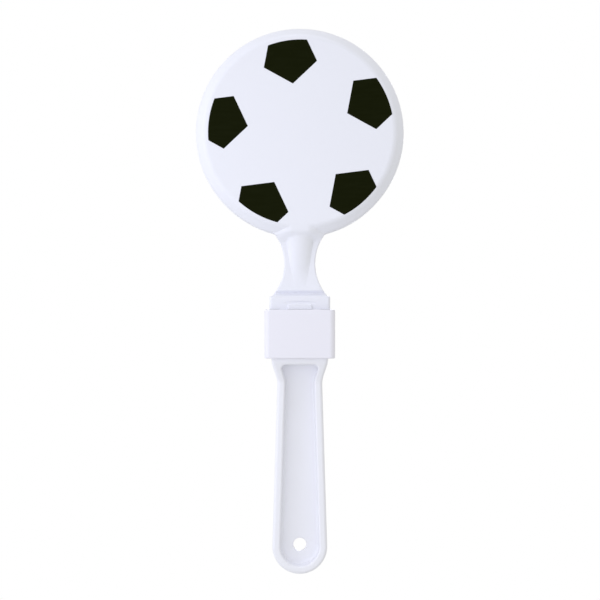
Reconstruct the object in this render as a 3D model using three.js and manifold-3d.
// Hand clapper: two round dishes hinged at a collar slap a fixed centre plate when the handle is shaken.
// It stands upright on its handle. X runs across, -Y is the front and +Z is up, in millimetres.
// Heights are measured from the handle's butt, and depths outwards from the middle plane.
// At the end the whole clapper is lowered, so that the origin is the middle of the grip.

import * as THREE from 'three';
import { mergeVertices } from 'three/addons/utils/BufferGeometryUtils.js';
import Module from 'manifold-3d';

const wasm = await Module();
wasm.setup();

// Driving dimensions

const fitGap = 0.3; // left between two pieces that are assembled or that turn on each other

const handleLength = 102.8; // butt to the collar's lower edge
const gripCentre = 52; // height of the middle of the palm
const buttRadius = 13.08;
const gripHalfWidth = 10.7; // at its narrowest, just under the flare
const gripHalfDepth = 7.5;
const gripEdgeRound = 1.5;
const flareLength = 12.3;
const flareHalfWidth = 13.45;
const flareHalfDepth = 11;
const rimWidth = 3.75; // wall round the long recess
const webThickness = 3;
const recessTopWall = 3; // between the recess and the collar
const recessFloorRound = 1.2;
const hangHoleRadius = 3.15;

const collarHeight = 23.1;
const collarHalfWidth = 16.7;
const collarHalfDepth = 13.7;
const collarWall = 1.7;
const collarSideWall = 1.95;
const collarCornerRound = 2.6;
const collarEdgeRound = 0.6;
const collarLipHeight = 1.6; // inner lip that stops the collar under the handle's head
const headCornerRound = 1;

const snapHeight = 10; // lower edge of the collar's snap wedges, above the collar's lower edge
const snapLength = 2.5;
const snapDepth = 0.7;
const snapHalfWidth = 4;

const barrelRadius = 3;
const pinRadius = 1.4;
const earThickness = 4.25;
const troughDrop = 4; // floor of the hinge trough, below the pin
const coreHalfDepth = 5.3; // what stands between the two hinge troughs
const stemThickness = 2.8;

const pocketHalfWidth = 5;
const pocketOffset = 6.2; // middle of each of the head's paired moulding pockets
const pocketDepth = 6;
const pocketFloorGap = 2; // left solid above the shoulder and below the trough

const centreHalfThickness = 1.3;
const centreBeadHeight = 0.3;
const centreBeadWidth = 4;
const centreInset = 0.6; // how far the centre plate stays behind the dishes' outline
const footHalfWidth = 8.5;
const footDepth = 17; // how far the centre plate's foot goes into the head
const barbSize = 1;
const barbLength = 3.5;

const discRadius = 49.7;
const leafBackDepth = 1.9; // rim plane of a dish and back of its neck
const discFaceDepth = 9.5;
const discWall = 1.5;
const discEdgeRound = 4.8;
const ribHeight = 1.5;
const ribWidth = 1.6;
const ribRingRadius = 15;
const ribCount = 6;

const neckLength = 28.4; // from the block's top to the dish's lowest point
const neckFootHalfWidth = 13.35;
const neckWaistHalfWidth = 7.42;
const neckRootHalfWidth = 12.2;
const neckWaistHeight = 15.7; // above the block's top
const neckFrontDepth = 5.2;
const ridgeHalfWidth = 6.1;
const ridgeCrestDepth = 8.8;
const ridgeTipHeight = 4.6; // above the block's top
const ridgeFullHeight = 17.8;
const ridgeNarrowing = 0.7; // how bluntly the ridge's lower end comes to its tip

const grooveHalfWidth = 10;
const grooveHeight = 1.7;
const grooveOffset = 0.5; // above the block's top
const grooveDepth = 1.6;

const blockHeight = 6;
const blockHalfWidth = 14.44;
const blockFrontDepth = 8.7;
const blockCornerRound = 1.5;
const blockEdgeRound = 0.5;
const stopHalfWidth = 5.9;
const stopHeight = 2.5;
const stopProud = 1;

const printThickness = 0.1;
const pentagonRadius = 13.35;
const pentagonDistance = 38.3; // from the pattern's centre to each pentagon's
const patternTurn = THREE.MathUtils.degToRad(97.3);
const patternCentre = new THREE.Vector2(0.2, -1.7); // the print sits a little low on the dish
const printEdgeRadius = 44.05; // the pad's edge cuts the pentagons' outer sides
const printEdgeCentre = new THREE.Vector2(0.6, -0.5);
const pentagonCount = 5;

const roundSteps = 4; // flats in a quarter of a small round
const discSteps = 80; // flats round a dish
const pinSteps = 24;

// Sizes that follow from them

const collarTop = handleLength + collarHeight;
const headBottom = handleLength + collarLipHeight + fitGap;
const headHalfWidth = collarHalfWidth - collarSideWall - fitGap;
const headHalfDepth = collarHalfDepth - collarWall - fitGap;
const boreRadius = pinRadius + fitGap;
const hingeHeight = collarTop - barrelRadius;
const hingeDepth = headHalfDepth - barrelRadius;
const earInner = headHalfWidth - earThickness;
const barrelHalfLength = earInner - fitGap;
const troughFloor = hingeHeight - troughDrop;
const blockBottom = collarTop + fitGap;
const blockTop = blockBottom + blockHeight;
const discCentre = blockTop + neckLength + discRadius;
const overshoot = 1; // how far a cutter runs past what it cuts

const plastic = { color: 0xf3f4fb, roughness: 0.38, metalness: 0 };
const collarPlastic = { color: 0xf1f3fa, roughness: 0.42, metalness: 0 };
const pinPlastic = { color: 0xe6e8ee, roughness: 0.3, metalness: 0 };
const ink = { color: 0x181a0e, roughness: 0.5, metalness: 0 };

// Solids from geometry

function solid(geometry) {
  geometry.deleteAttribute('normal');
  geometry.deleteAttribute('uv');
  const welded = mergeVertices(geometry, 1e-4);
  const corners = welded.index.array;
  const kept = [];
  for (let i = 0; i < corners.length; i += 3) {
    const [a, b, c] = corners.slice(i, i + 3);
    if (a !== b && b !== c && c !== a) kept.push(a, b, c);
  }
  const vertProperties = new Float32Array(welded.attributes.position.array);
  return new wasm.Manifold(new wasm.Mesh({ numProp: 3, vertProperties, triVerts: new Uint32Array(kept) }));
}

function piece(name, body, finish) {
  const { vertProperties, triVerts } = body.getMesh();
  const geometry = new THREE.BufferGeometry();
  geometry.setAttribute('position', new THREE.BufferAttribute(vertProperties, 3));
  geometry.setIndex(new THREE.BufferAttribute(triVerts, 1));
  geometry.computeVertexNormals();
  const mesh = new THREE.Mesh(geometry, new THREE.MeshStandardMaterial(finish));
  mesh.name = name;
  return mesh;
}

function extrude(outline, length, round) {
  return new THREE.ExtrudeGeometry(outline, {
    depth: length - 2 * round,
    bevelEnabled: round > 0,
    bevelThickness: round,
    bevelSize: round,
    bevelOffset: -round,
    bevelSegments: roundSteps - 1,
    curveSegments: 16,
  }).translate(0, 0, round);
}

// An outline seen from the front, given in x and height, made solid between two depths in front.
function plate(outline, near, far, round = 0) {
  return solid(extrude(outline, far - near, round).rotateX(Math.PI / 2).translate(0, -near, 0));
}

// An outline seen from above, made solid between two heights.
function column(outline, low, high, round = 0) {
  return solid(extrude(outline, high - low, round).translate(0, 0, low));
}

// An outline seen from the side, given in y and height, made solid between two places across.
function bar(outline, left, right) {
  const turn = new THREE.Matrix4().makeBasis(
    new THREE.Vector3(0, 1, 0),
    new THREE.Vector3(0, 0, 1),
    new THREE.Vector3(1, 0, 0),
  );
  return solid(extrude(outline, right - left, 0).applyMatrix4(turn).translate(left, 0, 0));
}

function box(left, right, near, far, low, high) {
  const geometry = new THREE.BoxGeometry(right - left, far - near, high - low);
  return solid(geometry.translate((left + right) / 2, -(near + far) / 2, (low + high) / 2));
}

function crossPin(radius, halfLength, depth, height) {
  const geometry = new THREE.CylinderGeometry(radius, radius, 2 * halfLength, pinSteps);
  return solid(geometry.rotateZ(Math.PI / 2).translate(0, -depth, height));
}

// A turned solid about the dish's axis. The profile runs from the front to the back, in radius and depth.
function turned(profile) {
  const points = profile.map(([radius, depth]) => new THREE.Vector2(radius, -depth));
  return solid(new THREE.LatheGeometry(points, discSteps)).translate(0, 0, discCentre);
}

function quarterRound(radius, depth, round, steps) {
  const points = [];
  for (let i = 0; i <= steps; i += 1) {
    const angle = (Math.PI / 2) * (i / steps);
    points.push([radius - round + round * Math.sin(angle), depth - round + round * Math.cos(angle)]);
  }
  return points;
}

function roundedRectangle(halfWidth, halfDepth, round) {
  const points = [];
  const corners = [[1, 1], [-1, 1], [-1, -1], [1, -1]];
  corners.forEach(([sideX, sideY], corner) => {
    for (let i = 0; i <= roundSteps; i += 1) {
      const angle = (Math.PI / 2) * (corner + i / roundSteps);
      const x = sideX * (halfWidth - round) + round * Math.cos(angle);
      const y = sideY * (halfDepth - round) + round * Math.sin(angle);
      points.push(new THREE.Vector2(x, y));
    }
  });
  return points;
}

// A skin through rings of equally many points, each ring level at its own height.
function loft(rings) {
  const count = rings[0].points.length;
  const positions = [];
  const faces = [];
  for (const { points, height } of rings) {
    for (const point of points) positions.push(point.x, point.y, height);
  }
  for (let level = 0; level < rings.length - 1; level += 1) {
    for (let i = 0; i < count; i += 1) {
      const a = level * count + i;
      const b = level * count + ((i + 1) % count);
      faces.push(a, b, b + count, a, b + count, a + count);
    }
  }
  const last = (rings.length - 1) * count;
  for (const [a, b, c] of THREE.ShapeUtils.triangulateShape(rings[0].points, [])) faces.push(a, c, b);
  for (const [a, b, c] of THREE.ShapeUtils.triangulateShape(rings[rings.length - 1].points, [])) {
    faces.push(last + a, last + b, last + c);
  }
  const geometry = new THREE.BufferGeometry();
  geometry.setAttribute('position', new THREE.Float32BufferAttribute(positions, 3));
  geometry.setIndex(faces);
  return geometry;
}

// Handle

function easeIn(share) {
  const held = THREE.MathUtils.clamp(share, 0, 1);
  return held * held * (3 - 2 * held);
}

function flareShare(height) {
  return easeIn((height - (handleLength - flareLength)) / flareLength);
}

function gripWidthAt(height) {
  const taperLength = handleLength - flareLength - buttRadius;
  const share = THREE.MathUtils.clamp((height - buttRadius) / taperLength, 0, 1);
  const straight = THREE.MathUtils.lerp(buttRadius, gripHalfWidth, share);
  return THREE.MathUtils.lerp(straight, flareHalfWidth, flareShare(height));
}

// The handle's outline from the front up to a height, drawn in by an inset all round its sides and butt.
function gripOutline(inset, top) {
  const outline = new THREE.Shape();
  outline.absarc(0, buttRadius, buttRadius - inset, Math.PI, 2 * Math.PI, false);
  const flareStart = handleLength - flareLength;
  const flareSteps = 8;
  const right = [];
  for (let i = 0; i <= flareSteps; i += 1) {
    const height = THREE.MathUtils.lerp(flareStart, top, i / flareSteps);
    right.push([gripWidthAt(height) - inset, height]);
  }
  right.forEach(([x, height]) => outline.lineTo(x, height));
  right.reverse().forEach(([x, height]) => outline.lineTo(-x, height));
  return outline;
}

function makeFlare() {
  const flareStart = handleLength - flareLength;
  const levels = 8;
  const rings = [];
  for (let i = 0; i <= levels; i += 1) {
    const height = flareStart + (flareLength * i) / levels;
    const halfDepth = THREE.MathUtils.lerp(gripHalfDepth, flareHalfDepth, flareShare(height));
    rings.push({ points: roundedRectangle(gripWidthAt(height), halfDepth, gripEdgeRound), height });
  }
  rings.push({ points: rings[levels].points, height: headBottom + overshoot });
  return solid(loft(rings));
}

// The long recess of one face, from the web outwards, with a hollow round between its floor and its wall.
function makeRecess() {
  const ring = (inward, depth) => ({
    points: gripOutline(rimWidth + inward, handleLength - recessTopWall - inward).getPoints(roundSteps * 4),
    height: depth,
  });
  const rings = [];
  for (let i = 0; i <= roundSteps; i += 1) {
    const angle = (Math.PI / 2) * (i / roundSteps);
    const inward = recessFloorRound * (1 - Math.sin(angle));
    rings.push(ring(inward, webThickness / 2 + recessFloorRound * (1 - Math.cos(angle))));
  }
  rings.push(ring(0, flareHalfDepth + overshoot));
  return solid(loft(rings).rotateX(Math.PI / 2));
}

function makeHead() {
  const side = new THREE.Shape();
  side.moveTo(-headHalfDepth, headBottom);
  side.lineTo(headHalfDepth, headBottom);
  side.absarc(hingeDepth, hingeHeight, barrelRadius, 0, Math.PI / 2, false);
  side.absarc(-hingeDepth, hingeHeight, barrelRadius, Math.PI / 2, Math.PI, false);
  const plan = new THREE.Shape(roundedRectangle(headHalfWidth, headHalfDepth, headCornerRound));
  return bar(side, -headHalfWidth, headHalfWidth).intersect(column(plan, headBottom, collarTop));
}

function footOutline(gap) {
  const halfWidth = footHalfWidth + gap;
  const bottom = collarTop - footDepth - gap;
  const barbTop = bottom + barbLength + 2 * gap;
  const outline = new THREE.Shape();
  outline.moveTo(-halfWidth, bottom);
  outline.lineTo(halfWidth, bottom);
  outline.lineTo(halfWidth + barbSize, barbTop);
  outline.lineTo(halfWidth, barbTop);
  outline.lineTo(halfWidth, blockBottom + overshoot);
  outline.lineTo(-halfWidth, blockBottom + overshoot);
  outline.lineTo(-halfWidth, barbTop);
  outline.lineTo(-halfWidth - barbSize, barbTop);
  return outline;
}

function snapOutline(side, gap) {
  const low = handleLength + snapHeight - gap;
  const high = handleLength + snapHeight + snapLength + gap;
  const wall = collarHalfWidth - collarSideWall;
  const tip = wall - snapDepth - gap;
  return new THREE.Shape([
    new THREE.Vector2(side * (wall + overshoot), low),
    new THREE.Vector2(side * wall, low),
    new THREE.Vector2(side * tip, high - snapLength / 3),
    new THREE.Vector2(side * tip, high),
    new THREE.Vector2(side * (wall + overshoot), high),
  ]);
}

// What is cut from the head's front: the hinge trough, the pin's bore and two moulding pockets.
function makeHingeCuts() {
  const far = headHalfDepth + overshoot;
  let cuts = box(-earInner, earInner, coreHalfDepth, far, troughFloor, collarTop + overshoot);
  cuts = cuts.add(crossPin(boreRadius, headHalfWidth + overshoot, hingeDepth, hingeHeight));
  const near = headHalfDepth - pocketDepth;
  const low = headBottom + pocketFloorGap;
  const high = troughFloor - pocketFloorGap;
  for (const middle of [-pocketOffset, pocketOffset]) {
    cuts = cuts.add(box(middle - pocketHalfWidth, middle + pocketHalfWidth, near, far, low, high));
  }
  return cuts;
}

function makeHandle() {
  let body = plate(gripOutline(0, headBottom), -gripHalfDepth, gripHalfDepth, gripEdgeRound);
  body = body.add(makeFlare()).add(makeHead());

  const frontCuts = makeRecess().add(makeHingeCuts());
  body = body.subtract(frontCuts).subtract(frontCuts.rotate(0, 0, 180));

  const hole = new THREE.Shape();
  hole.absarc(0, buttRadius, hangHoleRadius, 0, 2 * Math.PI, false);
  body = body.subtract(plate(hole, -webThickness, webThickness));

  const slotHalfDepth = centreHalfThickness + fitGap;
  body = body.subtract(plate(footOutline(fitGap), -slotHalfDepth, slotHalfDepth));
  for (const side of [1, -1]) {
    body = body.subtract(plate(snapOutline(side, fitGap), -snapHalfWidth - fitGap, snapHalfWidth + fitGap));
  }
  return body;
}

// Collar

function makeCollar() {
  const outside = new THREE.Shape(roundedRectangle(collarHalfWidth, collarHalfDepth, collarCornerRound));
  const insideRound = headCornerRound + fitGap;
  const inside = new THREE.Shape(
    roundedRectangle(headHalfWidth + fitGap, headHalfDepth + fitGap, insideRound),
  );
  const throat = new THREE.Shape(
    roundedRectangle(flareHalfWidth + fitGap, flareHalfDepth + fitGap, gripEdgeRound + fitGap),
  );
  let body = column(outside, handleLength, collarTop, collarEdgeRound);
  body = body.subtract(column(inside, handleLength + collarLipHeight, collarTop + overshoot));
  body = body.subtract(column(throat, handleLength - overshoot, collarTop));
  for (const side of [1, -1]) {
    body = body.add(plate(snapOutline(side, 0), -snapHalfWidth, snapHalfWidth));
  }
  return body;
}

// Dishes with their necks, blocks and hinge barrels

// Half a neck outline: two hollow arcs that meet at the waist, one to the block and one to the dish.
function neckSide(inset) {
  const waist = blockTop + neckWaistHeight;
  const root = discCentre - Math.sqrt(discRadius ** 2 - neckRootHalfWidth ** 2);
  const points = [];
  const steps = 8;
  const arcPoint = (endHeight, endHalfWidth, share) => {
    const run = endHeight - waist;
    const rise = endHalfWidth - neckWaistHalfWidth;
    const radius = (run ** 2 + rise ** 2) / (2 * rise);
    const x = neckWaistHalfWidth + radius - Math.sqrt(radius ** 2 - (run * share) ** 2) - inset;
    return [x, waist + run * share];
  };
  for (let i = steps; i > 0; i -= 1) points.push(arcPoint(blockTop, neckFootHalfWidth, i / steps));
  for (let i = 0; i <= steps; i += 1) points.push(arcPoint(root, neckRootHalfWidth, i / steps));
  return points;
}

// The whole neck, from a height in the block up into the wall of a dish of the given radius.
function neckOutline(inset, bottom, radius) {
  const side = neckSide(inset);
  const outline = new THREE.Shape();
  outline.moveTo(-side[0][0], bottom);
  outline.lineTo(side[0][0], bottom);
  side.forEach(([x, height]) => outline.lineTo(x, height));
  const [rootX] = side[side.length - 1];
  const half = Math.asin(rootX / radius);
  outline.absarc(0, discCentre, radius, -Math.PI / 2 + half, -Math.PI / 2 - half, true);
  side.reverse().forEach(([x, height]) => outline.lineTo(-x, height));
  return outline;
}

function makeRidge() {
  const tip = blockTop + ridgeTipHeight;
  const full = blockTop + ridgeFullHeight;
  const base = neckFrontDepth - overshoot;
  const across = 12;
  const ring = (height, share) => {
    const halfWidth = ridgeHalfWidth * share;
    const crest = THREE.MathUtils.lerp(neckFrontDepth, ridgeCrestDepth, share);
    const points = [];
    for (let i = 0; i <= across; i += 1) {
      const angle = Math.PI * (1 + i / across);
      points.push(new THREE.Vector2(halfWidth * Math.cos(angle), -base + (crest - base) * Math.sin(angle)));
    }
    return { points, height };
  };
  const steps = 8;
  const rings = [];
  for (let i = 0; i <= steps; i += 1) {
    const share = Math.max(i, 0.1) / steps;
    rings.push(ring(THREE.MathUtils.lerp(tip, full, share), share ** ridgeNarrowing));
  }
  rings.push(ring(discCentre - discRadius + discEdgeRound, 1));
  return solid(loft(rings));
}

function makeBlock() {
  const halfDepth = (blockFrontDepth - leafBackDepth) / 2;
  const plan = new THREE.Shape(roundedRectangle(blockHalfWidth, halfDepth, blockCornerRound));
  const block = column(plan, blockBottom, blockTop, blockEdgeRound);
  const stop = new THREE.Shape();
  stop.moveTo(stopHalfWidth, blockBottom);
  stop.absellipse(0, blockBottom, stopHalfWidth, stopHeight, 0, Math.PI, false, 0);
  const stopSolid = plate(stop, blockFrontDepth - overshoot, blockFrontDepth + stopProud);
  return block.translate(0, -leafBackDepth - halfDepth, 0).add(stopSolid);
}

function makeRibs() {
  const face = discFaceDepth - discWall;
  const near = face - ribHeight;
  const far = face + discWall / 2;
  let ribs = turned([
    [ribRingRadius, far],
    [ribRingRadius, near],
    [ribRingRadius - ribWidth, near],
    [ribRingRadius - ribWidth, far],
    [ribRingRadius, far],
  ]);
  for (let i = 0; i < ribCount; i += 1) {
    const reach = discRadius - discWall / 2;
    const arm = box(-ribWidth / 2, ribWidth / 2, near, far, ribRingRadius - ribWidth / 2, reach);
    ribs = ribs.add(arm.rotate(0, (360 * (i + 0.5)) / ribCount, 0).translate(0, 0, discCentre));
  }
  return ribs;
}

function makeDish() {
  const steps = 6;
  return turned([
    [0, discFaceDepth],
    ...quarterRound(discRadius, discFaceDepth, discEdgeRound, steps),
    [discRadius, leafBackDepth],
    [0, leafBackDepth],
  ]);
}

function makeHollow() {
  const steps = 4;
  const face = discFaceDepth - discWall;
  return turned([
    [0, face],
    ...quarterRound(discRadius - discWall, face, discEdgeRound - discWall, steps),
    [discRadius - discWall, leafBackDepth - overshoot],
    [0, leafBackDepth - overshoot],
  ]);
}

// A dish's solid, moved so that its hinge pin is the origin.
function makeClapper() {
  const neck = neckOutline(0, blockTop - overshoot, discRadius - discWall / 2);
  let body = makeDish().add(plate(neck, leafBackDepth, neckFrontDepth)).add(makeRidge());
  body = body.subtract(makeHollow()).add(makeRibs().intersect(makeDish())).add(makeBlock());

  const grooveLow = blockTop + grooveOffset;
  const grooveNear = neckFrontDepth - grooveDepth;
  const grooveHigh = grooveLow + grooveHeight;
  const groove = box(-grooveHalfWidth, grooveHalfWidth, grooveNear, ridgeCrestDepth, grooveLow, grooveHigh);
  body = body.subtract(groove);

  const stemHigh = blockBottom + overshoot;
  const stemNear = hingeDepth - stemThickness;
  const stem = box(-barrelHalfLength, barrelHalfLength, stemNear, hingeDepth, hingeHeight, stemHigh);
  body = body.add(crossPin(barrelRadius, barrelHalfLength, hingeDepth, hingeHeight)).add(stem);
  body = body.subtract(crossPin(boreRadius, barrelHalfLength + overshoot, hingeDepth, hingeHeight));
  return body.translate(0, hingeDepth, -hingeHeight);
}

function makePentagon(index) {
  const turn = patternTurn + (2 * Math.PI * index) / pentagonCount;
  const middle = new THREE.Vector2(Math.cos(turn), Math.sin(turn)).multiplyScalar(pentagonDistance);
  middle.add(patternCentre);
  const corners = [];
  for (let i = 0; i < pentagonCount; i += 1) {
    const angle = turn + Math.PI + (2 * Math.PI * i) / pentagonCount;
    const corner = new THREE.Vector2(Math.cos(angle), Math.sin(angle)).multiplyScalar(pentagonRadius);
    corners.push(corner.add(middle));
  }
  const pad = new THREE.Shape();
  pad.absarc(printEdgeCentre.x, printEdgeCentre.y, printEdgeRadius, 0, 2 * Math.PI, false);
  const padPoints = new THREE.Shape(pad.getSpacedPoints(discSteps).slice(0, -1));
  const far = discFaceDepth + printThickness;
  const printPad = plate(padPoints, discFaceDepth, far);
  const patch = plate(new THREE.Shape(corners), discFaceDepth, far).intersect(printPad);
  return patch.translate(0, hingeDepth, discCentre - hingeHeight);
}

// Centre plate

function makeCentrePlate() {
  const radius = discRadius - centreInset;
  const bead = centreHalfThickness + centreBeadHeight;
  const beadInner = radius - centreBeadWidth;
  const disc = turned([
    [0, centreHalfThickness],
    [beadInner, centreHalfThickness],
    [beadInner + centreBeadHeight, bead],
    [radius, bead],
    [radius, -bead],
    [beadInner + centreBeadHeight, -bead],
    [beadInner, -centreHalfThickness],
    [0, -centreHalfThickness],
  ]);
  const neck = plate(
    neckOutline(centreInset, blockBottom, beadInner + centreBeadHeight),
    -centreHalfThickness,
    centreHalfThickness,
  );
  const foot = plate(footOutline(0), -centreHalfThickness, centreHalfThickness);
  return disc.add(neck).add(foot);
}

// Assembly

function makeHingedClapper(name, turn) {
  const hinge = new THREE.Group();
  hinge.rotation.z = turn;
  hinge.position.set(0, -hingeDepth * Math.cos(turn), hingeHeight);
  hinge.add(piece(`${name}_clapper`, makeClapper(), plastic));
  for (let i = 0; i < pentagonCount; i += 1) {
    hinge.add(piece(`${name}_pentagon_${i + 1}`, makePentagon(i), ink));
  }
  return hinge;
}

const clapper = new THREE.Group();
clapper.position.z = -gripCentre;
clapper.add(piece('handle', makeHandle(), plastic));
clapper.add(piece('collar', makeCollar(), collarPlastic));
clapper.add(piece('centre_clapper', makeCentrePlate(), plastic));
for (const [name, side] of [['front', 1], ['rear', -1]]) {
  const pin = crossPin(pinRadius, headHalfWidth - fitGap / 2, side * hingeDepth, hingeHeight);
  clapper.add(piece(`${name}_hinge_pin`, pin, pinPlastic));
}
clapper.add(makeHingedClapper('front', 0));
clapper.add(makeHingedClapper('rear', Math.PI));

export default clapper;
